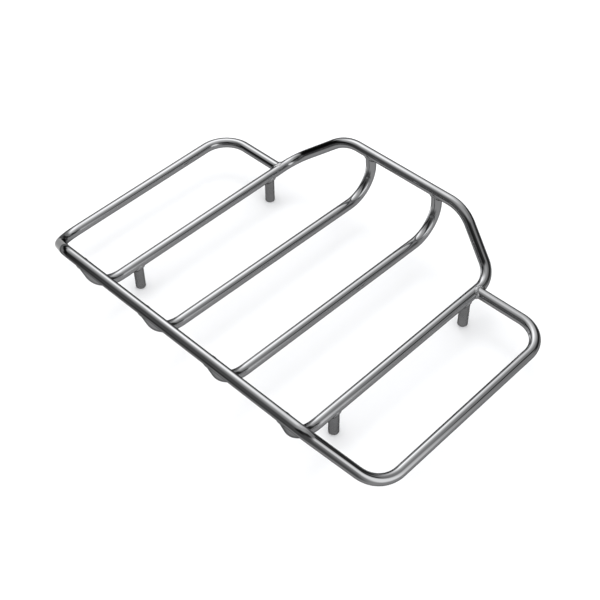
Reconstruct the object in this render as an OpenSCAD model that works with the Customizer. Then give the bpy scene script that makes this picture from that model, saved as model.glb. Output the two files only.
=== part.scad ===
// Luggage rack for a motorcycle trunk lid: bent and welded round tube on four threaded posts.
// X runs across the rack, Y from the front rail to the rear rail, Z up from the feet of the posts.

/* [Tube] */
// Outside diameter of every tube
tube_d = 12.7; // [11:0.1:14]
// Wall thickness of the tubes
tube_wall = 1.5; // [1:0.1:2.5]

/* [Outer rail] */
// Width between the centrelines of the two wing sides
wing_span = 512; // [480:1:560]
// Distance from the wings' inward ends back to where the side rails turn up
wing_end_gap = 26.5; // [25:0.5:60]
// Height of the wing centreline at the front corner
wing_front_z = 33; // [30:0.5:40]
// How far the level middle of the raised front rail runs past the hoop at either end
front_over = 28.5; // [20:0.5:40]
// Height of the front rail's centreline
front_z = 88; // [76:0.5:100]
// How far the front rail stands ahead of the front corners
front_lead = 33; // [20:0.5:45]
// Bend radius where the front rail starts to drop
front_bend_r = 26; // [20:0.5:40]
// Bend radius of the front corners
corner_r = 42; // [30:0.5:50]
// Bend radius of the wings' rear corners
wing_rear_r = 36.5; // [25:0.5:45]

/* [Inner hoop] */
// Width between the centrelines of the hoop's side rails
hoop_span = 313; // [290:1:335]
// Distance between the centrelines of the front and rear rails
hoop_l = 358; // [345:1:380]
// Height of the side rails' centreline at the front
side_front_z = 35.5; // [33:0.5:42]
// Height of the side rails' centreline at the rear
side_rear_z = 39.5; // [36:0.5:46]
// Length of the rear rail between its corners
rear_flat = 183; // [160:1:200]
// Height of the rear rail's centreline
rear_z = 91; // [80:0.5:105]
// How far the rear rail stands behind the side rails' rear bends
rear_lead = 25; // [15:0.5:32]
// Bend radius where a side rail turns up to the rear rail
side_bend_r = 29; // [22:0.5:30]
// Bend radius of the rear rail's corners
rear_bend_r = 54; // [35:0.5:58]

/* [Bars] */
// Distance between the centrelines of the two bars
bar_gap = 103; // [80:1:130]
// Height of the bars' centreline at the front
bar_front_z = 37; // [34:0.5:43]
// Height of the bars' centreline at the rear
bar_rear_z = 33.5; // [31:0.5:42]
// How far a bar's rear upright leans forward over its height
bar_lean = 5; // [0:0.5:8]
// Bend radius at the bars' rear ends
bar_rear_r = 38; // [28:0.5:42]

/* [Front hooks] */
// How far the upturned front ends start behind the front rail
hook_reach = 18; // [10:0.5:24]
// Bend radius of the upturned front ends
hook_r = 43; // [30:0.5:46]

/* [Posts] */
// Diameter of the mounting posts
post_d = 12; // [10:0.1:13]
// Distance from the front rail back to the front posts
front_post_y = 72.5; // [66:0.5:100]
// Distance from the rear posts back to where the side rails turn up
rear_post_y = 45.5; // [42:0.5:75]
// Diameter of the threaded hole in each post, at the thread's crests
thread_d = 5; // [4:0.1:6.8]
// Depth of the threaded hole in each post
thread_depth = 18; // [12:0.5:22]

/* [Welds] */
// Width of a weld bead along each tube
weld_leg = 2.5; // [1.5:0.5:2.5]

/* [Hidden] */
$fn = 64;
tube_r = tube_d / 2;
bore_d = tube_d - 2 * tube_wall;
post_r = post_d / 2;
post_chamfer = 0.8;
// A bend draws the tube in by this much, and each straight laps into it by the second value
bend_neck = 0.06;
bend_lap = 0.8;
// Room between a shaped tube end and the tube it meets
fit_gap = 0.02;
// Bores run past the tube's ends by this much
end_over = 1;
weld_main_leg = weld_leg - 0.3;
weld_band = 1.35 * weld_leg;

wing_x = wing_span / 2;
side_x = hoop_span / 2;
front_x = side_x + front_over;
rear_x = rear_flat / 2;
bar_x = bar_gap / 2;
bar_turn = 90 + atan(bar_lean / (rear_z - bar_rear_z));
// A bar's rear bend stands this far behind the rear rail, which the origin allows for
bar_bulge = max(0, bar_lean + bar_rear_r - bar_rear_r * tan(bar_turn / 2));
front_y = -(hoop_l + bar_bulge) / 2;
rear_y = front_y + hoop_l;
corner_y = front_y + front_lead;
side_bend_y = rear_y - rear_lead;
wing_end_y = side_bend_y - wing_end_gap;
hook_y = front_y + hook_reach;
bar_bend_y = rear_y + bar_lean;
post_ys = [front_y + front_post_y, side_bend_y - rear_post_y];

// Directions of the side rails, of the upturned front ends and of the bars' rear uprights
side_dir = unit([0, side_bend_y - hook_y, side_rear_z - side_front_z]);
hook_dir = unit([0, hook_y - front_y, side_front_z - front_z]);
bar_hook_dir = unit([0, hook_y - front_y, bar_front_z - front_z]);
bar_rear_dir = unit([0, bar_bend_y - rear_y, bar_rear_z - rear_z]);
// The wings end on the side rails, so they take their height there
wing_rear_z = side_z(wing_end_y);

// Centrelines, as the points where straight runs would meet, with the bend radius at each inner point
wing_half = [
    [side_x, wing_end_y, wing_rear_z],
    [wing_x, wing_end_y, wing_rear_z],
    [wing_x, corner_y, wing_front_z],
    [front_x, front_y, front_z]
];
outer_points = concat([for (p = wing_half) mirrored(p)], reversed(wing_half));
outer_radii = [wing_rear_r, corner_r, front_bend_r, front_bend_r, corner_r, wing_rear_r];

hoop_half = [
    [side_x, front_y, front_z],
    [side_x, hook_y, side_front_z],
    [side_x, side_bend_y, side_rear_z],
    [rear_x, rear_y, rear_z]
];
hoop_points = concat([for (p = hoop_half) mirrored(p)], reversed(hoop_half));
hoop_radii = [hook_r, side_bend_r, rear_bend_r, rear_bend_r, side_bend_r, hook_r];

bar_points = [
    [0, front_y, front_z],
    [0, hook_y, bar_front_z],
    [0, bar_bend_y, bar_rear_z],
    [0, rear_y, rear_z]
];
bar_radii = [hook_r, bar_rear_r];

function unit(v) = v / norm(v);
function mirrored(p) = [-p.x, p.y, p.z];
function reversed(list) = [for (i = [len(list) - 1:-1:0]) list[i]];
// Direction of straight run i, the angle turned at point i, and the run taken up by that bend
function heading(points, i) = unit(points[i + 1] - points[i]);
function turn(points, i) = acos(heading(points, i - 1) * heading(points, i));
function is_bend(points, i) = i > 0 && i < len(points) - 1;
function setback(points, radii, i) = is_bend(points, i) ? radii[i - 1] * tan(turn(points, i) / 2) : 0;
// Height of a side rail's centreline at a place along it
function side_z(y) = side_front_z + (y - hook_y) * side_dir.z / side_dir.y;

// Places children with their X, Y and Z axes along x, y and z, at the given point
module framed(x, y, z, at) {
    multmatrix([
        [x.x, y.x, z.x, at.x],
        [x.y, y.y, z.y, at.y],
        [x.z, y.z, z.z, at.z],
        [0, 0, 0, 1]
    ])
        children();
}

// Points children's Z axis along a direction, with their X axis square to it
module along(direction, at) {
    side = unit(cross(direction, abs(direction.z) < 0.9 ? [0, 0, 1] : [1, 0, 0]));
    framed(side, cross(direction, side), direction, at)
        children();
}

// One straight run of rod, lapping into the bend at either end
module straight_run(points, radii, i, d, over) {
    before = is_bend(points, i) ? bend_lap : over;
    after = is_bend(points, i + 1) ? bend_lap : over;
    from = setback(points, radii, i) - before;
    to = norm(points[i + 1] - points[i]) - setback(points, radii, i + 1) + after;
    along(heading(points, i), points[i] + from * heading(points, i))
        cylinder(d = d, h = to - from);
}

// One bend of rod: part of a ring in the plane of the two runs that it joins
module bend(points, radii, i, d) {
    a = heading(points, i - 1);
    b = heading(points, i);
    out = unit(a * (a * b) - b);
    start = points[i] - a * setback(points, radii, i);
    framed(out, a, cross(out, a), start - radii[i - 1] * out)
        rotate_extrude(angle = turn(points, i))
            translate([radii[i - 1], 0])
                circle(d = d - bend_neck);
}

// Bent rod along a run of points
module bent_rod(points, radii, d, over = 0) {
    for (i = [0:len(points) - 2])
        straight_run(points, radii, i, d, over);
    for (i = [1:len(points) - 2])
        bend(points, radii, i, d);
}

// Bent tube along a run of points
module bent_tube(points, radii) {
    difference() {
        bent_rod(points, radii, tube_d);
        bent_rod(points, radii, bore_d, end_over);
    }
}

// The space of a tube through a point, for shaping what is welded to it
module tube_space(direction, at, gap = fit_gap) {
    along(direction, at)
        cylinder(r = tube_r + gap, h = 6 * tube_d, center = true);
}

// Bead round the joint where a branch leaves a main tube
module weld_bead(at, main, branch, branch_r) {
    reach = 2 * tube_d;
    level = unit(main - branch * (main * branch));
    color("dimgray")
        difference() {
            intersection() {
                framed(level, cross(branch, level), branch, at)
                    rotate([90, 0, 0])
                        linear_extrude(height = reach, center = true)
                            polygon([
                                [0, -weld_band],
                                [reach, reach - weld_band],
                                [reach, reach + weld_band],
                                [0, weld_band],
                                [-reach, reach + weld_band],
                                [-reach, reach - weld_band]
                            ]);
                along(branch, at - branch * weld_band)
                    cylinder(r = branch_r + weld_leg, h = reach);
                along(main, at)
                    cylinder(r = tube_r + weld_main_leg, h = 2 * reach, center = true);
            }
            tube_space(main, at, 0);
            along(branch, at - branch * reach / 2)
                cylinder(r = branch_r + fit_gap, h = 2 * reach);
        }
}

module outer_rail() {
    color("silver")
        difference() {
            bent_tube(outer_points, outer_radii);
            for (x = [-side_x, side_x])
                tube_space(side_dir, [x, wing_end_y, wing_rear_z]);
        }
}

module inner_hoop() {
    color("silver")
        difference() {
            bent_tube(hoop_points, hoop_radii);
            for (x = [-side_x, side_x])
                tube_space([1, 0, 0], [x, front_y, front_z]);
        }
}

module bar(x) {
    color("silver")
        translate([x, 0, 0])
            difference() {
                bent_tube(bar_points, bar_radii);
                tube_space([1, 0, 0], [0, front_y, front_z]);
                tube_space([1, 0, 0], [0, rear_y, rear_z]);
            }
}

module post(x, y) {
    color("gray")
        difference() {
            translate([x, y, 0])
                rotate_extrude()
                    polygon([
                        [0, 0],
                        [post_r - post_chamfer, 0],
                        [post_r, post_chamfer],
                        [post_r, side_z(y)],
                        [0, side_z(y)]
                    ]);
            tube_space(side_dir, [x, y, side_z(y)]);
            translate([x, y, -end_over])
                cylinder(d = thread_d, h = thread_depth + end_over);
        }
}

module wing_weld(side) {
    side_bend = side < 0 ? 2 : len(hoop_points) - 3;
    color("dimgray")
        difference() {
            weld_bead([side * side_x, wing_end_y, wing_rear_z], side_dir, [side, 0, 0], tube_r);
            bend(hoop_points, hoop_radii, side_bend, tube_d);
        }
}

module front_weld(x, branch) {
    weld_bead([x, front_y, front_z], [1, 0, 0], branch, tube_r);
}

module rear_weld(x) {
    weld_bead([x, rear_y, rear_z], [1, 0, 0], bar_rear_dir, tube_r);
}

module post_weld(x, y) {
    weld_bead([x, y, side_z(y)], side_dir, [0, 0, -1], post_r);
}

outer_rail();
inner_hoop();
bar(-bar_x);  // left_bar
bar(bar_x);  // right_bar
post(-side_x, post_ys[0]);  // front_left_post
post(side_x, post_ys[0]);  // front_right_post
post(-side_x, post_ys[1]);  // rear_left_post
post(side_x, post_ys[1]);  // rear_right_post
wing_weld(-1);  // left_wing_weld
wing_weld(1);  // right_wing_weld
front_weld(-side_x, hook_dir);  // left_hook_weld
front_weld(side_x, hook_dir);  // right_hook_weld
front_weld(-bar_x, bar_hook_dir);  // left_bar_front_weld
front_weld(bar_x, bar_hook_dir);  // right_bar_front_weld
rear_weld(-bar_x);  // left_bar_rear_weld
rear_weld(bar_x);  // right_bar_rear_weld
post_weld(-side_x, post_ys[0]);  // front_left_post_weld
post_weld(side_x, post_ys[0]);  // front_right_post_weld
post_weld(-side_x, post_ys[1]);  // rear_left_post_weld
post_weld(side_x, post_ys[1]);  // rear_right_post_weld
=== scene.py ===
"""A motorcycle luggage rack in polished chrome: bent and welded round tube on four tapped posts.

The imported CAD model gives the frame. The four tubes, the posts and the weld beads are built again here as
smooth surfaces worked out with numpy, each in the place of its CAD node. The studio is a pale table under an
even light and one soft lamp, with a dome of soft panels round the rack that only the chrome reflects. Lengths
are in metres, and sizes that a maker would quote are written as ``MM * value``.
"""

import logging
import math
from dataclasses import dataclass, field
from enum import Enum
from typing import Any, Sequence

import bpy
import numpy as np
from mathutils import Matrix, Vector

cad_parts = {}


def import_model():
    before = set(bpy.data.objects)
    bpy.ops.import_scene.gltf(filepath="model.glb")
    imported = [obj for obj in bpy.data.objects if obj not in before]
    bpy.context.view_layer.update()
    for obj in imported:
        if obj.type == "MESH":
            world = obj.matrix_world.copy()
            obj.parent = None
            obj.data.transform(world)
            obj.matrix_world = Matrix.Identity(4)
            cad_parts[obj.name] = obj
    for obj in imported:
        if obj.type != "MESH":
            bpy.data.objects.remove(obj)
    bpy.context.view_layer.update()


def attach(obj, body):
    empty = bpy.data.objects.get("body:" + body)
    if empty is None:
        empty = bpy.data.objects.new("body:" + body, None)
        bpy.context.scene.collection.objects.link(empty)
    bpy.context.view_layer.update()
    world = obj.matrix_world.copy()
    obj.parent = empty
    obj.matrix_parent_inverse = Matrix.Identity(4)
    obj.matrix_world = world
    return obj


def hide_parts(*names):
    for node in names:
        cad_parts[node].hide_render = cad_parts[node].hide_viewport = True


LOG = logging.getLogger("luggage_rack")
MM = 0.001
TAU = 2.0 * math.pi

Array = np.ndarray


class Slot(Enum):
    """The rack's material slots."""

    TUBE = "tube"
    POST = "post"
    WELD = "weld"


class Side(Enum):
    """Left and right of the rack, as the sign of X."""

    LEFT = -1
    RIGHT = 1

    @property
    def word(self) -> str:
        """The side's name as the nodes write it."""
        return self.name.lower()


@dataclass(frozen=True)
class RackSizes:
    """The rack's sizes, the same as the CAD source's, in metres."""

    tube_r: float = MM * 6.35
    wall: float = MM * 1.5
    wing_x: float = MM * 256.0
    wing_end_gap: float = MM * 26.5
    wing_front_z: float = MM * 33.0
    front_over: float = MM * 28.5
    front_z: float = MM * 88.0
    front_lead: float = MM * 33.0
    front_bend_r: float = MM * 26.0
    corner_r: float = MM * 42.0
    wing_rear_r: float = MM * 36.5
    side_x: float = MM * 156.5
    hoop_length: float = MM * 358.0
    side_front_z: float = MM * 35.5
    side_rear_z: float = MM * 39.5
    rear_x: float = MM * 91.5
    rear_z: float = MM * 91.0
    rear_lead: float = MM * 25.0
    side_bend_r: float = MM * 29.0
    rear_bend_r: float = MM * 54.0
    bar_x: float = MM * 51.5
    bar_front_z: float = MM * 37.0
    bar_rear_z: float = MM * 33.5
    bar_lean: float = MM * 5.0
    bar_rear_r: float = MM * 38.0
    hook_reach: float = MM * 18.0
    hook_r: float = MM * 43.0
    post_r: float = MM * 6.0
    front_post_y: float = MM * 72.5
    rear_post_y: float = MM * 45.5
    weld_leg: float = MM * 2.5

    @property
    def bar_bulge(self) -> float:
        """How far the bars' rear bends stand behind the rear rail, less their radius."""
        half_turn = (math.pi / 2 + math.atan(self.bar_lean / (self.rear_z - self.bar_rear_z))) / 2
        return max(0.0, self.bar_lean + self.bar_rear_r * (1 - math.tan(half_turn)))

    @property
    def front_y(self) -> float:
        """Y of the front rail, which makes the rack's box centred on the origin."""
        return -(self.hoop_length + self.bar_bulge) / 2

    @property
    def rear_y(self) -> float:
        """Y of the rear rail."""
        return self.front_y + self.hoop_length

    @property
    def corner_y(self) -> float:
        """Y of the front corners."""
        return self.front_y + self.front_lead

    @property
    def front_x(self) -> float:
        """Half the length of the front rail's level middle."""
        return self.side_x + self.front_over

    @property
    def wing_end_y(self) -> float:
        """Y of the wings' inward ends."""
        return self.side_bend_y - self.wing_end_gap

    @property
    def hook_y(self) -> float:
        """Y where the upturned front ends start."""
        return self.front_y + self.hook_reach

    @property
    def side_bend_y(self) -> float:
        """Y where the side rails turn up to the rear rail."""
        return self.rear_y - self.rear_lead

    @property
    def side_slope(self) -> float:
        """Rise of a side rail for each metre along Y."""
        return (self.side_rear_z - self.side_front_z) / (self.side_bend_y - self.hook_y)

    def side_z(self, y: float) -> float:
        """Height of a side rail's centreline.

        Args:
            y: Place along the rack.

        Returns:
            The height in metres.
        """
        return self.side_front_z + (y - self.hook_y) * self.side_slope


def unit(vector: Sequence[float]) -> Array:
    """A vector's direction, as a numpy array of length one."""
    made = np.asarray(vector, float)
    return made / np.linalg.norm(made)


def turned(vectors: Array, axis: Array, angles: Array) -> Array:
    """Vectors turned about one axis by the rule v cos a + (k x v) sin a + k (k . v)(1 - cos a).

    Args:
        vectors: One vector, of three numbers.
        axis: Direction k of the axis.
        angles: The angles a, as an array.

    Returns:
        One turned vector for each angle.
    """
    cosine, sine = np.cos(angles)[:, None], np.sin(angles)[:, None]
    return vectors * cosine + np.cross(axis, vectors) * sine + axis * (axis @ vectors) * (1 - cosine)


@dataclass
class CentreLine:
    """A bent tube's centreline: straight runs joined by circular bends, with a frame that never twists.

    The frame starts square to Z, or to X where the first run's rise is steep.
    """

    corners: list[tuple[float, float, float]]
    radii: list[float]
    bend_step: float = math.radians(2.5)
    run_step: float = MM * 6.0
    least_steps: int = 3
    steep: float = 0.9
    places: Array = field(init=False)
    tangents: Array = field(init=False)
    normals: Array = field(init=False)
    lengths: Array = field(init=False)

    def __post_init__(self) -> None:
        """Works out the stations: each straight run in even steps, each bend as points on its circle."""
        corners = np.array(self.corners, float)
        heads = [unit(b - a) for a, b in zip(corners, corners[1:])]
        aside = (0, 0, 1) if abs(heads[0][2]) < self.steep else (1, 0, 0)
        normal = unit(np.cross(heads[0], aside))
        places, tangents, normals, at = [], [], [], corners[0]
        for i, head in enumerate(heads):
            last = i == len(heads) - 1
            swing = 0.0 if last else math.acos(float(np.clip(head @ heads[i + 1], -1, 1)))
            setback = 0.0 if last else self.radii[i] * math.tan(swing / 2)
            end = corners[i + 1] - head * setback
            steps = max(self.least_steps, math.ceil(np.linalg.norm(end - at) / self.run_step))
            share = np.linspace(0, 1, steps + 1)[:, None]
            places.append(at + (end - at) * share)
            tangents.append(np.broadcast_to(head, places[-1].shape))
            normals.append(np.broadcast_to(normal, places[-1].shape))
            if last:
                break
            axis = unit(np.cross(head, heads[i + 1]))
            angles = np.linspace(0, swing, math.ceil(swing / self.bend_step) + 1)[1:-1]
            arm = np.cross(head, axis) * self.radii[i]
            places.append(end - arm + turned(arm, axis, angles))
            tangents.append(turned(head, axis, angles))
            normals.append(turned(normal, axis, angles))
            normal = turned(normal, axis, np.array([swing]))[0]
            at = end - arm + turned(arm, axis, np.array([swing]))[0]
        self.places, self.tangents, self.normals = (np.concatenate(x) for x in (places, tangents, normals))
        gaps = np.linalg.norm(np.diff(self.places, axis=0), axis=1)
        self.lengths = np.concatenate([[0.0], np.cumsum(gaps)])

    @property
    def sides(self) -> Array:
        """The frame's second cross direction, square to the tangent and the normal."""
        return np.cross(self.normals, self.tangents)


@dataclass
class Skin:
    """A surface on a grid of rows by columns, run so that rows x columns points outwards."""

    points: Array
    normals: Array | None = None
    uv: Array | None = None
    wrap_rows: bool = True
    wrap_columns: bool = True
    first_pole: Array | None = None
    last_pole: Array | None = None

    def faces(self) -> list[list[int]]:
        """Four-sided faces between neighbours, and a fan of triangles round each pole.

        Returns:
            Each face as the numbers of its points.
        """
        rows, columns = self.points.shape[:2]
        i = np.arange(rows if self.wrap_rows else rows - 1)[:, None] * columns
        j = np.arange(columns if self.wrap_columns else columns - 1)[None, :]
        far, right = (i + columns) % (rows * columns), (j + 1) % columns
        made = np.stack([i + j, far + j, far + right, i + right], -1).reshape(-1, 4).tolist()
        here, beside, extra = np.arange(columns), np.roll(np.arange(columns), -1), rows * columns
        if self.first_pole is not None:
            made += np.stack([np.full(columns, extra), here, beside], -1).tolist()
            extra += 1
        if self.last_pole is not None:
            last = (rows - 1) * columns
            made += np.stack([np.full(columns, extra), last + beside, last + here], -1).tolist()
        return made

    def build(self, name: str) -> bpy.types.Object:
        """Makes the mesh object at the origin and links it to the scene.

        Args:
            name: The object's name.

        Returns:
            The new object.
        """
        poles = [pole for pole in (self.first_pole, self.last_pole) if pole is not None]
        points = np.concatenate([self.points.reshape(-1, 3), *(np.reshape(pole, (1, 3)) for pole in poles)])
        mesh = bpy.data.meshes.new(name)
        mesh.from_pydata(points.tolist(), [], self.faces())
        mesh.polygons.foreach_set("use_smooth", np.ones(len(mesh.polygons), bool))
        if self.uv is not None:
            self.lay_uv(mesh)
        mesh.update()
        if self.normals is not None:
            mesh.normals_split_custom_set_from_vertices(self.normals.reshape(-1, 3).tolist())
        made = bpy.data.objects.new(name, mesh)
        bpy.context.scene.collection.objects.link(made)
        return made

    def lay_uv(self, mesh: bpy.types.Mesh) -> None:
        """Writes (turn, length) at each corner of each face; a face over the seam ends on a whole turn.

        Args:
            mesh: The skin's own mesh, of four-sided faces only.
        """
        corner = np.zeros(len(mesh.loops), np.int64)
        mesh.loops.foreach_get("vertex_index", corner)
        values = self.uv.reshape(-1, 2)[corner].reshape(-1, 4, 2).copy()
        over_seam = np.ptp(values[..., 0], axis=1) > 0.5
        values[..., 0] += over_seam[:, None] & (values[..., 0] < 0.5)
        layer = mesh.uv_layers.new(name="Surface")
        layer.data.foreach_set("uv", values.astype(np.float32).ravel())


@dataclass(frozen=True)
class Saddle:
    """Where a branch tube is notched to sit on a main tube: the main tube's axis at the joint."""

    centre: tuple[float, float, float]
    axis: tuple[float, float, float]
    main_r: float

    def notch(self, lateral: Array) -> Array:
        """Distance from the main tube's axis to the notched edge, by sqrt(R R - w w).

        Args:
            lateral: Distance w of each point of the edge from the plane of the two axes.

        Returns:
            The distance along the branch.
        """
        return np.sqrt(np.maximum(self.main_r**2 - lateral**2, 0.0))


@dataclass
class BentTube:
    """A round tube bent along a centreline, hollow, with its ends notched over the tubes they meet.

    Within the notch's reach of an end, the stations are drawn in evenly to follow the cut.
    """

    name: str
    line: CentreLine
    outer_r: float
    inner_r: float
    start: Saddle | None = None
    end: Saddle | None = None
    notch_reach: float = MM * 14.0
    around: int = 48

    def wall(self, radius: float) -> tuple[Array, Array, Array]:
        """One wall of the tube: P(s, a) = C(s) + r (N(s) cos a + B(s) sin a), with the notched ends drawn in.

        Args:
            radius: The wall's radius r.

        Returns:
            The points, their outward normals and their (turn, length) coordinates, on one grid.
        """
        line = self.line
        angle = np.linspace(0, TAU, self.around, endpoint=False)
        spoke = line.normals[:, None] * np.cos(angle)[:, None] + line.sides[:, None] * np.sin(angle)[:, None]
        points = line.places[:, None] + radius * spoke
        turn, length = np.meshgrid(angle / TAU, line.lengths)
        for saddle, at, sign in ((self.start, 0, 1.0), (self.end, -1, -1.0)):
            if saddle is None:
                continue
            inward = sign * line.tangents[at]
            across = unit(np.cross(inward, saddle.axis))
            cut = saddle.notch(radius * (spoke[at] @ across))
            reach = (line.places - line.places[at]) @ inward
            zone = np.abs(line.lengths - line.lengths[at]) < self.notch_reach
            share = np.clip(1 - reach / self.notch_reach, 0, 1)[:, None] * zone[:, None]
            points += (share * cut)[..., None] * inward
        return points, spoke, np.stack([turn, length], -1)

    def build(self) -> bpy.types.Object:
        """Joins the outer wall, run forwards, to the inner wall, run back, as one closed surface.

        Returns:
            The tube.
        """
        outer, out_normal, out_uv = self.wall(self.outer_r)
        inner, in_normal, in_uv = self.wall(self.inner_r)
        points = np.concatenate([outer, inner[::-1]])
        normals = np.concatenate([out_normal, -in_normal[::-1]])
        uv = np.concatenate([out_uv, in_uv[::-1]])
        return Skin(points, normals, uv).build(self.name)


@dataclass
class TappedPost:
    """A round post under a rail, with a rounded foot and a blind tapped hole.

    Top rings are the shares of the radius at which the seat under the rail has its rows of points.
    """

    name: str
    centre: tuple[float, float]
    rail: Saddle
    radius: float
    edge_r: float = MM * 1.0
    hole_r: float = MM * 3.0
    thread_deep: float = MM * 0.5
    pitch: float = MM * 1.0
    threads: int = 18
    mouth: float = MM * 0.6
    drill_tip: float = MM * 1.2
    top_rings: tuple[float, ...] = (0.25, 0.5, 0.75, 0.9, 1.0)
    wall_rows: int = 10
    edge_rows: int = 9
    flat_rows: int = 4
    thread_rows: int = 10
    around: int = 48

    def seat(self, radius: Array, angle: Array) -> Array:
        """Height of the rail's underside over the post: z = rail z - sqrt(R R - w w), w measured across the rail.

        Args:
            radius: Distance of each point from the post's axis.
            angle: Its angle round the axis.

        Returns:
            The heights in metres.
        """
        x, y = radius * np.cos(angle), radius * np.sin(angle)
        slope = self.rail.axis[2] / self.rail.axis[1]
        return self.rail.centre[2] + y * slope - self.rail.notch(x)

    def grid(self, rows: list[Array]) -> Array:
        """One part after another of the profile, with a value for every place round the post."""
        return np.concatenate([np.broadcast_to(row, (len(row), self.around)) for row in rows])

    def build(self) -> bpy.types.Object:
        """Turns the profile round the post's axis; the thread's radius falls and rises with z / pitch - turn.

        Returns:
            The post.
        """
        angle = np.linspace(0, TAU, self.around, endpoint=False)[None, :]
        top_r = self.radius * np.array(self.top_rings)[:, None]
        top_z = self.seat(top_r, angle)
        share = np.linspace(0, 1, self.wall_rows)[1:, None]
        wall_z = top_z[-1] * (1 - share) + self.edge_r * share
        arc = np.linspace(0, math.pi / 2, self.edge_rows)[1:, None]
        edge_r = self.radius - self.edge_r * (1 - np.cos(arc))
        edge_z = self.edge_r * (1 - np.sin(arc))
        flat_r = np.linspace(self.radius - self.edge_r, self.hole_r + self.mouth, self.flat_rows)[1:, None]
        thread_end = self.mouth + self.pitch * self.threads
        thread_z = np.linspace(self.mouth, thread_end, self.thread_rows * self.threads + 1)[:, None]
        wave = np.abs((thread_z / self.pitch - angle / TAU) % 1.0 * 2 - 1)
        fade = np.clip((thread_z - self.mouth) / self.pitch, 0, 1)
        thread_r = self.hole_r - self.thread_deep * (1 - fade + fade * wave)
        r = self.grid([top_r, np.full_like(share, self.radius), edge_r, flat_r, thread_r])
        z = self.grid([top_z, wall_z, edge_z, np.zeros_like(flat_r), thread_z])
        x, y = self.centre
        points = np.stack([x + r * np.cos(angle), y + r * np.sin(angle), z], -1)
        tip = float(thread_z[-1, 0]) + self.drill_tip
        crown = float(self.seat(np.zeros(1), np.zeros(1))[0])
        skin = Skin(points, wrap_rows=False, first_pole=np.array([x, y, crown]), last_pole=np.array([x, y, tip]))
        return skin.build(self.name)


@dataclass
class WeldBead:
    """The bead round a joint where a branch tube leaves a main tube.

    Uneven holds the shares by which the leg grows and shrinks, three and seven times round the joint. Swell is the
    belly's height in line with the main tube, and what the joint's sides add to it. Ripple shape is the power that
    rounds the scallops, and the level that they rise and fall about.
    """

    name: str
    centre: tuple[float, float, float]
    main: tuple[float, float, float]
    branch: tuple[float, float, float]
    main_r: float
    branch_r: float
    leg: float
    start_turn: float = 0.0
    uneven: tuple[float, float] = (0.07, 0.05)
    widest: float = 0.97
    sunk: float = MM * 0.04
    swell: tuple[float, float] = (MM * 0.08, MM * 0.62)
    ripples: int = 27
    ripple_high: float = MM * 0.26
    ripple_lag: float = 1.1
    ripple_shape: tuple[float, float] = (0.8, 0.6)
    root_share: float = 0.93
    root_deep: float = MM * 0.5
    lip_deep: float = MM * 0.25
    around: int = 324
    across: int = 15

    def build(self) -> bpy.types.Object:
        """Lays the bead between its two toes.

        For a place u round the branch, one toe lies on the main tube at (r + leg) cos u along it and at the angle
        asin(k sin u) + leg sin u / R round it. The other lies on the branch, sqrt(R R - (k R sin u)^2) + leg out from
        the main tube's axis. Between them the skin is the straight line plus a swell of 4 v (1 - v) outwards and a row
        of scallops |sin| that lag in the middle of the bead, as each puddle freezes behind the last. The bead is
        closed by a root that is buried in both tubes.

        Returns:
            The bead.
        """
        out, big, small = unit(self.branch), self.main_r, self.branch_r
        along = unit(np.array(self.main) - out * (out @ np.array(self.main)))
        across = np.cross(out, along)
        rise = np.cross(unit(self.main), across)
        rise = rise * np.sign(rise @ out)
        u = np.linspace(0, TAU, self.around, endpoint=False)[:, None]
        v = np.linspace(0, 1, self.across)[None, :, None]
        keep = min(small / big, self.widest)
        slow, quick = self.uneven
        leg = self.leg * (1 + slow * np.sin(3 * u + self.start_turn) + quick * np.sin(7 * u - 2 * self.start_turn))
        swing = np.arcsin(keep * np.sin(u)) + leg / big * np.sin(u)
        main_normal = np.cos(swing) * rise + np.sin(swing) * across
        branch_normal = np.cos(u) * along + np.sin(u) * across
        high = big * np.sqrt(1 - (keep * np.sin(u)) ** 2)
        main_toe = (small + leg) * np.cos(u) * unit(self.main) + big * main_normal
        branch_toe = (high + leg) * out + small * branch_normal
        main_toe, branch_toe = main_toe - self.sunk * main_normal, branch_toe - self.sunk * branch_normal
        facing = main_normal + branch_normal
        facing /= np.linalg.norm(facing, axis=1, keepdims=True)
        swell = self.swell[0] + self.swell[1] * np.sin(u) ** 4
        belly = 4 * v * (1 - v)
        phase = self.ripples * u / 2 + self.start_turn
        sharp, middle = self.ripple_shape
        scallop = np.abs(np.sin(phase[..., None] - self.ripple_lag * belly)) ** sharp - middle
        lift = (swell[..., None] * belly + self.ripple_high * np.sqrt(belly) * scallop) * facing[:, None]
        skin = main_toe[:, None] * (1 - v) + branch_toe[:, None] * v + lift
        buried = self.root_share * small * branch_normal + (high - self.root_deep) * out
        root = [branch_toe - self.lip_deep * branch_normal, buried, main_toe - self.lip_deep * main_normal]
        points = np.concatenate([skin, *(place[:, None] for place in root)], axis=1) + np.array(self.centre)
        return Skin(points).build(self.name)


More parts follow.
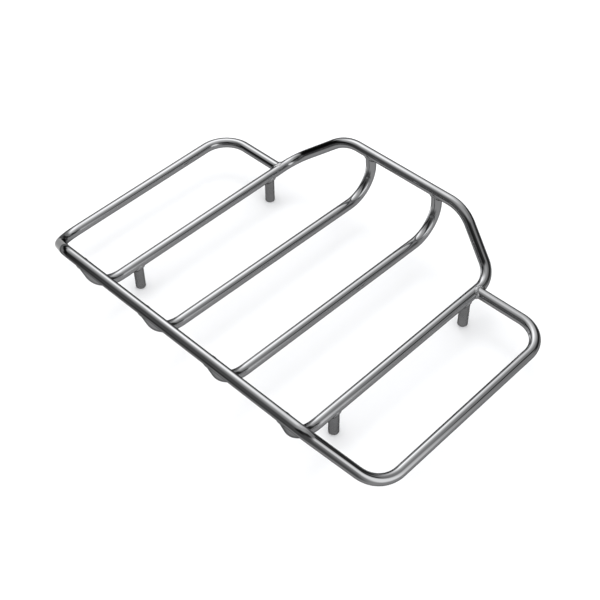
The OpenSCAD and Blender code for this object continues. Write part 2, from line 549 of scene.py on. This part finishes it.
@dataclass
class Rack:
    """The rack's tubes, posts and weld beads. The ripples of each bead start a bead turn after the last one's."""

    sizes: RackSizes = field(default_factory=RackSizes)
    bead_turn: float = 0.9

    def outer_line(self) -> CentreLine:
        """The outer rail: wing end, wing side, front corner, front rail, and the same again.

        Returns:
            The rail's centreline, from the left wing's end to the right one's.
        """
        s = self.sizes
        end_z = s.side_z(s.wing_end_y)
        half = [(s.side_x, s.wing_end_y, end_z), (s.wing_x, s.wing_end_y, end_z),
                (s.wing_x, s.corner_y, s.wing_front_z), (s.front_x, s.front_y, s.front_z)]
        radii = [s.wing_rear_r, s.corner_r, s.front_bend_r]
        return CentreLine([(-x, y, z) for x, y, z in half] + half[::-1], radii + radii[::-1])

    def hoop_line(self) -> CentreLine:
        """The inner hoop: front hook, side rail, rear corner, rear rail, and the same again.

        Returns:
            The hoop's centreline, from the left hook's end to the right one's.
        """
        s = self.sizes
        half = [(s.side_x, s.front_y, s.front_z), (s.side_x, s.hook_y, s.side_front_z),
                (s.side_x, s.side_bend_y, s.side_rear_z), (s.rear_x, s.rear_y, s.rear_z)]
        radii = [s.hook_r, s.side_bend_r, s.rear_bend_r]
        return CentreLine([(-x, y, z) for x, y, z in half] + half[::-1], radii + radii[::-1])

    def bar_line(self, side: Side) -> CentreLine:
        """One bar: front hook, level run and rear upright.

        Args:
            side: Which of the two bars.

        Returns:
            The bar's centreline, from front to rear.
        """
        s = self.sizes
        x = side.value * s.bar_x
        points = [(x, s.front_y, s.front_z), (x, s.hook_y, s.bar_front_z),
                  (x, s.rear_y + s.bar_lean, s.bar_rear_z), (x, s.rear_y, s.rear_z)]
        return CentreLine(points, [s.hook_r, s.bar_rear_r])

    def saddle(self, x: float, y: float, z: float, axis: tuple[float, float, float] = (1, 0, 0)) -> Saddle:
        """A seat on a tube through a point."""
        return Saddle((x, y, z), axis, self.sizes.tube_r)

    def build_tubes(self) -> list[bpy.types.Object]:
        """Makes the outer rail, the hoop and the two bars.

        Returns:
            The four tubes.
        """
        s = self.sizes
        side_axis = (0.0, 1.0, s.side_slope)
        bore_r = s.tube_r - s.wall
        end_z = s.side_z(s.wing_end_y)
        made = [
            BentTube("rack_outer_rail", self.outer_line(), s.tube_r, bore_r,
                     self.saddle(-s.side_x, s.wing_end_y, end_z, side_axis),
                     self.saddle(s.side_x, s.wing_end_y, end_z, side_axis)).build(),
            BentTube("rack_inner_hoop", self.hoop_line(), s.tube_r, bore_r,
                     self.saddle(-s.side_x, s.front_y, s.front_z), self.saddle(s.side_x, s.front_y, s.front_z)).build(),
        ]
        nodes = ["outer_rail", "inner_hoop"]
        for side in Side:
            x = side.value * s.bar_x
            made.append(BentTube(f"rack_{side.word}_bar", self.bar_line(side), s.tube_r, bore_r,
                                 self.saddle(x, s.front_y, s.front_z), self.saddle(x, s.rear_y, s.rear_z)).build())
            nodes.append(f"{side.word}_bar")
        for piece, node in zip(made, nodes):
            self.place(piece, node, Slot.TUBE)
        return made

    def joints(self) -> list[WeldBead]:
        """The twelve welded joints, each named after its CAD node.

        Returns:
            The beads, not yet built.
        """
        s = self.sizes
        side_axis = (0.0, 1.0, s.side_slope)
        end_z = s.side_z(s.wing_end_y)
        made = []
        for side in Side:
            sign, word = side.value, side.word
            hoop_x, bar_x = sign * s.side_x, sign * s.bar_x
            to_hook = (0.0, s.hook_reach, s.side_front_z - s.front_z)
            to_bar = (0.0, s.hook_reach, s.bar_front_z - s.front_z)
            to_upright = (0.0, s.bar_lean, s.bar_rear_z - s.rear_z)
            across = (1.0, 0.0, 0.0)
            rail = [
                (f"{word}_wing_weld", (hoop_x, s.wing_end_y, end_z), side_axis, (float(sign), 0.0, 0.0)),
                (f"{word}_hook_weld", (hoop_x, s.front_y, s.front_z), across, to_hook),
                (f"{word}_bar_front_weld", (bar_x, s.front_y, s.front_z), across, to_bar),
                (f"{word}_bar_rear_weld", (bar_x, s.rear_y, s.rear_z), across, to_upright),
            ]
            made += [WeldBead(*row, s.tube_r, s.tube_r, s.weld_leg) for row in rail]
            for end, y in self.post_places():
                place = (hoop_x, y, s.side_z(y))
                name = f"{end}_{word}_post_weld"
                made.append(WeldBead(name, place, side_axis, (0.0, 0.0, -1.0), s.tube_r, s.post_r, s.weld_leg))
        for number, bead in enumerate(made):
            bead.start_turn = self.bead_turn * number
        return made

    def post_places(self) -> list[tuple[str, float]]:
        """The posts' places along the rack, with their names."""
        s = self.sizes
        return [("front", s.front_y + s.front_post_y), ("rear", s.side_bend_y - s.rear_post_y)]

    def build_posts(self) -> list[bpy.types.Object]:
        """Makes the four posts.

        Returns:
            The posts.
        """
        s = self.sizes
        made = []
        for side in Side:
            for end, y in self.post_places():
                x = side.value * s.side_x
                rail = self.saddle(x, y, s.side_z(y), (0.0, 1.0, s.side_slope))
                node = f"{end}_{side.word}_post"
                piece = TappedPost(f"rack_{node}", (x, y), rail, s.post_r).build()
                self.place(piece, node, Slot.POST)
                made.append(piece)
        return made

    def build_welds(self) -> list[bpy.types.Object]:
        """Makes the twelve weld beads.

        Returns:
            The beads.
        """
        made = []
        for bead in self.joints():
            node = bead.name
            bead.name = f"rack_{node}"
            piece = bead.build()
            self.place(piece, node, Slot.WELD)
            made.append(piece)
        return made

    @staticmethod
    def place(piece: bpy.types.Object, node: str, slot: Slot) -> None:
        """Puts a piece on the frame in place of a CAD node.

        Args:
            piece: The new piece.
            node: The CAD node that it stands for.
            slot: The slot for its finish; not used.
        """
        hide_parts(node)
        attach(piece, "root")
        LOG.info("%s stands for %s, with %d faces", piece.name, node, len(piece.data.polygons))


@dataclass(frozen=True)
class Wire:
    """One output of a node, on which the usual signs add Math nodes."""

    board: "Board"
    socket: bpy.types.NodeSocket

    def maths(self, operation: str, *values: Any) -> "Wire":
        """Adds a Math node on these values."""
        return self.board.out("ShaderNodeMath", {"operation": operation}, dict(enumerate(values)))

    def __add__(self, other: Any) -> "Wire":
        """Sum."""
        return self.maths("ADD", self, other)

    def __radd__(self, other: Any) -> "Wire":
        """Sum, with the number first."""
        return self.maths("ADD", other, self)

    def __sub__(self, other: Any) -> "Wire":
        """Difference."""
        return self.maths("SUBTRACT", self, other)

    def __rsub__(self, other: Any) -> "Wire":
        """Difference, with the number first."""
        return self.maths("SUBTRACT", other, self)

    def __mul__(self, other: Any) -> "Wire":
        """Product."""
        return self.maths("MULTIPLY", self, other)

    def __rmul__(self, other: Any) -> "Wire":
        """Product, with the number first."""
        return self.maths("MULTIPLY", other, self)

    def __abs__(self) -> "Wire":
        """Size without the sign."""
        return self.maths("ABSOLUTE", self)

    def larger(self, other: Any) -> "Wire":
        """The larger of this value and the other."""
        return self.maths("MAXIMUM", self, other)

    def step(self, low: float, high: float) -> "Wire":
        """Smooth rise from 0 at low to 1 at high."""
        ends = {"Value": self, "From Min": low, "From Max": high, "To Min": 0.0, "To Max": 1.0}
        return self.board.out("ShaderNodeMapRange", {"interpolation_type": "SMOOTHSTEP"}, ends)

    def towards(self, other: Any, share: "Wire") -> "Wire":
        """This value where share is 0 and the other where it is 1."""
        return self + (other - self) * share


@dataclass(frozen=True)
class Board:
    """A node tree, with one way of adding nodes to it."""

    tree: bpy.types.NodeTree

    def node(self, kind: str, settings: dict[str, Any] | None = None, inputs: dict[Any, Any] | None = None) -> Any:
        """Adds a node.

        Args:
            kind: Blender's type name of the node.
            settings: Its own settings, set first.
            inputs: Values or wires of its sockets, by name or number.

        Returns:
            The node.
        """
        made = self.tree.nodes.new(kind)
        for key, value in (settings or {}).items():
            setattr(made, key, value)
        for key, value in (inputs or {}).items():
            self.feed(made.inputs[key], value)
        return made

    def feed(self, socket: bpy.types.NodeSocket, value: Any) -> None:
        """Links a wire to a socket, or sets the socket's own value.

        Args:
            socket: The input socket.
            value: A wire, or a constant of the socket's kind.
        """
        if isinstance(value, Wire):
            self.tree.links.new(value.socket, socket)
        else:
            socket.default_value = value

    def out(self, kind: str, settings: dict[str, Any] | None = None, inputs: dict[Any, Any] | None = None,
            name: str | int = 0) -> Wire:
        """Adds a node and gives one of its outputs."""
        return Wire(self, self.node(kind, settings, inputs).outputs[name])

    def noise(self, place: Wire, scale: float, detail: float = 3.0, roughness: float = 0.5) -> Wire:
        """Cloudy noise from 0 to 1."""
        inputs = {"Vector": place, "Scale": scale, "Detail": detail, "Roughness": roughness}
        return self.out("ShaderNodeTexNoise", {}, inputs, "Fac")

    def stretch(self, place: Wire, scale: tuple[float, float, float]) -> Wire:
        """Coordinates scaled along each axis."""
        return self.out("ShaderNodeMapping", {}, {"Vector": place, "Scale": scale})

    def blend(self, share: Wire, low: tuple[float, ...], high: tuple[float, ...]) -> Wire:
        """A colour between two, by a share."""
        # Inputs 6 and 7, and output 2, are the Mix node's sockets for colours.
        inputs = {0: share, 6: (*low, 1.0), 7: (*high, 1.0)}
        return self.out("ShaderNodeMix", {"data_type": "RGBA"}, inputs, 2)


@dataclass(frozen=True)
class Chrome:
    """Chrome plate on steel: bright where it was buffed, hazy where the wheel could not reach.

    Cloud, fine and lines are noises, each by its scale, detail and roughness. Fine high is the grain's depth
    without haze, and what full haze adds. Rim is the tint at grazing angles, set darker than real chrome's so that
    the tubes' outlines read as dark as the photo's.
    """

    name: str
    bright: tuple[float, float, float] = (0.80, 0.805, 0.82)
    shade: tuple[float, float, float] = (0.70, 0.705, 0.72)
    smooth: float = 0.02
    hazy: float = 0.20
    haze: float = 0.0
    mottle: float = 0.2
    rim: float = 0.22
    wave_deep: float = MM * 0.012
    grain_deep: float = MM * 0.0015
    joints: tuple[tuple[float, float, float], ...] = ()
    joint_haze: float = 0.4
    joint_zone: tuple[float, float] = (MM * 8.0, MM * 14.0)
    cloud: tuple[float, float, float] = (38.0, 4.0, 0.6)
    fine: tuple[float, float, float] = (900.0, 2.0, 0.6)
    fine_rough: float = 0.01
    fine_high: tuple[float, float] = (0.4, 3.0)
    lined: bool = False
    lines: tuple[float, float, float] = (1.0, 3.0, 0.7)
    line_stretch: tuple[float, float, float] = (130.0, 22.0, 1.0)
    line_rough: float = 0.02
    line_high: float = 0.5

    def build(self) -> bpy.types.Material:
        """Makes the material, whose haze mixes its colours and roughness and deepens its fine grain.

        Returns:
            The material.
        """
        made = bpy.data.materials.new(self.name)
        made.use_nodes = True
        board = Board(made.node_tree)
        shader = made.node_tree.nodes["Principled BSDF"]
        place = board.out("ShaderNodeTexCoord", {}, {}, "Object")
        cloud = board.noise(place, *self.cloud)
        fine = board.noise(place, *self.fine)
        near = self.near_joints(board, place) * self.joint_haze
        haze = board.out("ShaderNodeClamp", {}, {"Value": near + self.haze + (cloud - 0.5) * self.mottle})
        shader.inputs["Metallic"].default_value = 1.0
        shader.inputs["Specular Tint"].default_value = (self.rim, self.rim, self.rim, 1.0)
        board.feed(shader.inputs["Base Color"], board.blend(haze, self.bright, self.shade))
        rough = self.smooth + (self.hazy - self.smooth) * haze + (fine - 0.5) * self.fine_rough
        least, more = self.fine_high
        high = (cloud - 0.5) * self.wave_deep + (fine - 0.5) * self.grain_deep * (haze * more + least)
        if self.lined:
            lines = self.buffing_lines(board)
            rough = rough + (lines - 0.5) * self.line_rough
            high = high + (lines - 0.5) * self.grain_deep * self.line_high
        board.feed(shader.inputs["Roughness"], rough)
        bump = board.out("ShaderNodeBump", {}, {"Strength": 1.0, "Distance": 1.0, "Height": high})
        board.feed(shader.inputs["Normal"], bump)
        return made

    def near_joints(self, board: Board, place: Wire) -> Wire | float:
        """How near a joint is: 1 at the weld, falling to 0 some way off, where the buffing wheel reaches.

        Args:
            board: The material's board.
            place: The place on the piece.

        Returns:
            The nearness, or 0 for a finish that knows of no joints.
        """
        made: Wire | float = 0.0
        for joint in self.joints:
            gap = board.out("ShaderNodeVectorMath", {"operation": "DISTANCE"}, {0: place, 1: joint}, "Value")
            made = (1 - gap.step(*self.joint_zone)).larger(made)
        return made

    def buffing_lines(self, board: Board) -> Wire:
        """Hair lines left by buffing, which run along the tube and are far finer across it."""
        surface = board.out("ShaderNodeTexCoord", {}, {}, "UV")
        return board.noise(board.stretch(surface, self.line_stretch), *self.lines)


@dataclass(frozen=True)
class Viewpoint:
    """The photograph's camera: where it stands, what it looks at, its roll and its lens."""

    place: tuple[float, float, float] = (0.6678, -0.6671, 0.9732)
    target: tuple[float, float, float] = (0.0182, -0.0160, 0.03175)
    roll: float = math.radians(-0.818)
    lens: float = 69.88
    sensor: float = 36.0
    clip: tuple[float, float] = (0.01, 50.0)

    def build(self) -> bpy.types.Object:
        """Makes the camera and hands it to the scene.

        Returns:
            The camera.
        """
        data = bpy.data.cameras.new("photo_camera")
        data.lens, data.sensor_width, data.sensor_fit = self.lens, self.sensor, "HORIZONTAL"
        data.clip_start, data.clip_end = self.clip
        data.dof.use_dof = False
        camera = bpy.data.objects.new("photo_camera", data)
        bpy.context.scene.collection.objects.link(camera)
        look = Vector(self.target) - Vector(self.place)
        aim = look.to_track_quat("-Z", "Y").to_matrix().to_4x4()
        camera.matrix_world = Matrix.Translation(self.place) @ aim @ Matrix.Rotation(self.roll, 4, "Z")
        bpy.context.scene.camera = camera
        return camera


@dataclass(frozen=True)
class Panel:
    """A soft panel round the rack, light or dark, by its bearing from +Y towards +X and its height, in degrees.

    A blur of 0 gives a hard edge, and a blur of 1 one that fades from the panel's middle. The grey is what the
    chrome shows of it in the picture, from 0 to 1.
    """

    use: str
    bearing: float
    half_width: float
    side_blur: float
    height: float
    half_height: float
    top_blur: float
    grey: float


@dataclass(frozen=True)
class Studio:
    """The pale table, the key light, and a dome round the rack that only the chrome sees."""

    dome_r: float = 1.1
    dome_z: float = 0.1
    dome_rows: int = 34
    dome_columns: int = 64
    table_half: float = 8.0
    table_colour: tuple[float, float, float] = (0.894, 0.9, 0.912)
    table_rough: float = 0.9
    table_grey: float = 0.50
    ceiling_grey: float = 0.58
    ceiling_from: tuple[float, float] = (40.0, 75.0)
    plate: float = 0.8
    fill: float = 1.3
    key_watts: float = 5.0
    key_size: float = 0.9
    key_place: tuple[float, float, float] = (-0.85, 0.91, 1.81)
    panels: tuple[Panel, ...] = (
        Panel("wall all round", -180.0, 400.0, 0.2, 22.0, 36.0, 0.5, 0.44),
        Panel("darker wall in front", 180.0, 54.0, 0.2, 7.0, 38.0, 0.35, 0.26),
        Panel("low dark patch, front left", -152.0, 12.0, 0.6, -8.0, 9.0, 0.6, 0.17),
        Panel("dark over the camera", 138.0, 40.0, 0.3, 46.0, 14.0, 0.5, 0.14),
        Panel("dark, high in front", 172.0, 18.0, 0.5, 33.0, 13.0, 0.5, 0.09),
        Panel("large soft box, rear left", -50.0, 46.0, 0.85, 50.0, 28.0, 0.5, 0.82),
        Panel("grey screen, rear left", -46.0, 32.0, 0.3, 9.0, 12.0, 0.8, 0.43),
        Panel("small light, left", -70.0, 9.0, 0.6, 19.0, 8.0, 0.8, 0.70),
        Panel("dark gap behind", 26.0, 24.0, 0.4, 12.0, 15.0, 0.5, 0.12),
        Panel("thin dark edge, rear right", 53.0, 11.0, 0.5, 29.0, 6.0, 0.4, 0.12),
        Panel("dark foot of the screen", -24.0, 38.0, 0.35, -4.0, 8.0, 0.5, 0.12),
        Panel("dark patch on the table, rear left", -38.0, 18.0, 0.5, -20.0, 12.0, 0.5, 0.13),
        Panel("bright panel, right", 89.0, 18.0, 0.6, 12.0, 22.0, 0.5, 0.84),
        Panel("black cloth, front left", -111.0, 27.0, 0.25, 15.0, 11.0, 0.55, 0.02),
        Panel("black edge of the cloth", -131.0, 9.0, 0.5, 0.0, 12.0, 0.5, 0.06),
        Panel("black card, left", -81.0, 12.0, 0.3, 7.0, 6.5, 0.45, 0.04),
        Panel("core of the soft box", -58.0, 20.0, 0.9, 44.0, 13.0, 0.7, 1.0),
        Panel("low bounce card, left", -81.0, 14.0, 0.5, -30.0, 9.0, 0.5, 1.0),
    )

    def glow(self, grey: float) -> float:
        """The light that shows as a grey of the picture: ((g + 0.055) / 1.055) to the power 2.4, over the plate's."""
        return ((grey + 0.055) / 1.055) ** 2.4 / self.plate

    def panel_light(self, board: Board) -> Wire:
        """The dome's light by place: the table and the ceiling, with each panel laid over what is before it.

        Args:
            board: The dome material's board.

        Returns:
            The strength of the light.
        """
        centre = (0.0, 0.0, self.dome_z)
        place = board.out("ShaderNodeTexCoord", {}, {}, "Object")
        arm = board.out("ShaderNodeVectorMath", {"operation": "SUBTRACT"}, {0: place, 1: centre})
        direction = board.out("ShaderNodeVectorMath", {"operation": "NORMALIZE"}, {0: arm})
        parts = board.node("ShaderNodeSeparateXYZ", {}, {0: direction})
        x, y, z = (Wire(board, socket) for socket in parts.outputs)
        degrees = 360.0 / TAU
        bearing = x.maths("ARCTAN2", x, y) * degrees
        height = z.maths("ARCSINE", z) * degrees
        light = height.step(*self.ceiling_from) * (self.glow(self.ceiling_grey) - self.glow(self.table_grey))
        light = light + self.glow(self.table_grey)
        for panel in self.panels:
            LOG.debug("panel: %s", panel.use)
            aside = abs((bearing - panel.bearing).maths("WRAP", bearing - panel.bearing, 180.0, -180.0))
            above = abs(height - panel.height)
            wide, tall = panel.half_width, panel.half_height
            inside = (1 - aside.step(wide * (1 - panel.side_blur), wide * (1 + panel.side_blur))) * (
                1 - above.step(tall * (1 - panel.top_blur), tall * (1 + panel.top_blur)))
            light = light.towards(self.glow(panel.grey), inside)
        return light

    def build_dome(self) -> bpy.types.Object:
        """Makes the dome: a sphere, as height and bearing, that glossy rays alone can see.

        Returns:
            The dome.
        """
        height = np.linspace(math.pi / 2, -math.pi / 2, self.dome_rows)[1:-1, None]
        bearing = np.linspace(0, TAU, self.dome_columns, endpoint=False)[None, :]
        flat = np.cos(height)
        points = np.stack([flat * np.sin(bearing), flat * np.cos(bearing), np.sin(height) + 0 * bearing], -1)
        poles = [np.array([0.0, 0.0, self.dome_z + way * self.dome_r]) for way in (1, -1)]
        points = self.dome_r * points + np.array([0.0, 0.0, self.dome_z])
        dome = Skin(points, wrap_rows=False, first_pole=poles[0], last_pole=poles[1]).build("studio_dome")
        material = bpy.data.materials.new("studio_panels")
        material.use_nodes = True
        material.cycles.emission_sampling = "NONE"
        shader = material.node_tree.nodes["Principled BSDF"]
        shader.inputs["Base Color"].default_value = (0, 0, 0, 1)
        shader.inputs["Roughness"].default_value = 1.0
        shader.inputs["Specular IOR Level"].default_value = 0.0
        shader.inputs["Emission Strength"].default_value = 1.0
        board = Board(material.node_tree)
        board.feed(shader.inputs["Emission Color"], self.panel_light(board))
        dome.data.materials.append(material)
        dome.visible_camera = dome.visible_diffuse = dome.visible_shadow = False
        dome.visible_transmission = dome.visible_volume_scatter = False
        return dome

    def build_world(self) -> bpy.types.World:
        """Makes the even pale light that falls on the table.

        Returns:
            The world.
        """
        world = bpy.data.worlds.new("studio")
        bpy.context.scene.world = world
        world.use_nodes = True
        background = world.node_tree.nodes["Background"]
        background.inputs["Color"].default_value = (1.0, 1.0, 1.0, 1.0)
        background.inputs["Strength"].default_value = self.fill
        return world

    def build_key(self) -> bpy.types.Object:
        """The key light, behind the rack to the left, which throws the soft shadows on the table.

        Returns:
            The light.
        """
        data = bpy.data.lights.new("key_light", "AREA")
        data.shape, data.size, data.energy = "DISK", self.key_size, self.key_watts
        key = bpy.data.objects.new("key_light", data)
        bpy.context.scene.collection.objects.link(key)
        aim = (-Vector(self.key_place)).to_track_quat("-Z", "Y").to_matrix().to_4x4()
        key.matrix_world = Matrix.Translation(self.key_place) @ aim
        key.visible_glossy = key.visible_camera = False
        return key

    def build_table(self) -> bpy.types.Object:
        """The table's top, wide enough for every view.

        Returns:
            The table.
        """
        edge = np.linspace(-self.table_half, self.table_half, 3)
        x, y = np.meshgrid(edge, edge, indexing="ij")
        table = Skin(np.stack([x, y, np.zeros_like(x)], -1), wrap_rows=False, wrap_columns=False).build("studio_table")
        material = bpy.data.materials.new("pale_table")
        material.use_nodes = True
        shader = material.node_tree.nodes["Principled BSDF"]
        shader.inputs["Base Color"].default_value = (*self.table_colour, 1.0)
        shader.inputs["Roughness"].default_value = self.table_rough
        shader.inputs["Specular IOR Level"].default_value = 0.0
        table.data.materials.append(material)
        table.visible_glossy = False
        return table

    def build(self) -> None:
        """Makes the table, the lights and the dome."""
        self.build_world()
        self.build_dome()
        self.build_key()
        self.build_table()
        bpy.context.scene.view_settings.view_transform = "Standard"


def main() -> None:
    """Builds the rack round the frame, dresses it, and sets it in the studio."""
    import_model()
    Viewpoint().build()
    rack = Rack()
    joints = tuple(bead.centre for bead in rack.joints())
    polished = Chrome("polished_chrome", joints=joints, lined=True)
    dull = Chrome("dull_chrome", bright=(0.66, 0.66, 0.67), shade=(0.40, 0.40, 0.41),
                  smooth=0.16, hazy=0.36, haze=0.5, mottle=1.6)
    weld = Chrome("weld_chrome", bright=(0.86, 0.865, 0.88), shade=(0.70, 0.70, 0.71),
                  smooth=0.03, hazy=0.16, haze=0.2, mottle=0.8, wave_deep=MM * 0.05)
    finishes = {
        Slot.TUBE: (rack.build_tubes(), polished),
        Slot.POST: (rack.build_posts(), dull),
        Slot.WELD: (rack.build_welds(), weld),
    }
    for slot, (pieces, finish) in finishes.items():
        material = finish.build()
        for piece in pieces:
            piece.data.materials.append(material)
        LOG.info("%s: %d pieces in %s", slot.value, len(pieces), material.name)
    Studio().build()
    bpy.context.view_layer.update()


if __name__ == "__main__":
    logging.basicConfig(level=logging.INFO, format="%(name)s: %(message)s")
    main()
